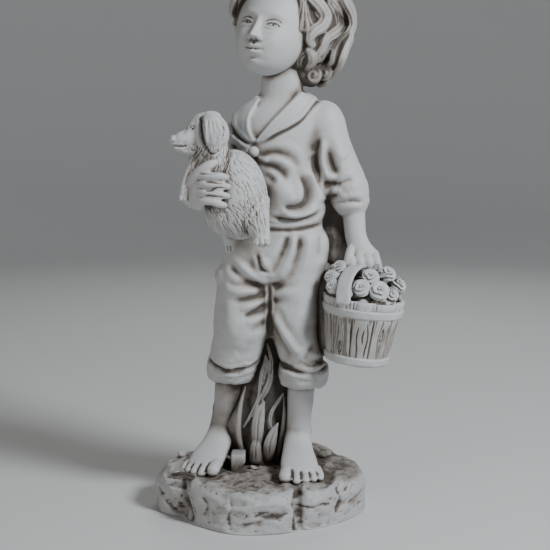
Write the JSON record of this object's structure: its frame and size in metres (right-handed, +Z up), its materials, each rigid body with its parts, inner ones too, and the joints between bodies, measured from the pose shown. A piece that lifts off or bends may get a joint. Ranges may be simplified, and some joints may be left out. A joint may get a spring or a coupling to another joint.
{
  "type": "boy with dog statue",
  "caption": "Cast stone garden statue of a barefoot boy who holds a puppy on one arm and a bucket of roses in the other hand, standing on a low rock base.",
  "frame": {"origin": "centre of the rock base's footprint, on its flat underside", "axes": "+Z up; -Y is the side seen in the picture; +X is the side of the bucket, the figure's left"},
  "size_m": [0.3658, 0.237, 0.799],
  "materials": {
    "cast_stone": "matte, with a brown wash in the recesses"
  },
  "bodies": {
    "root": {"statue": "cast_stone"}
  },
  "joints": []
}
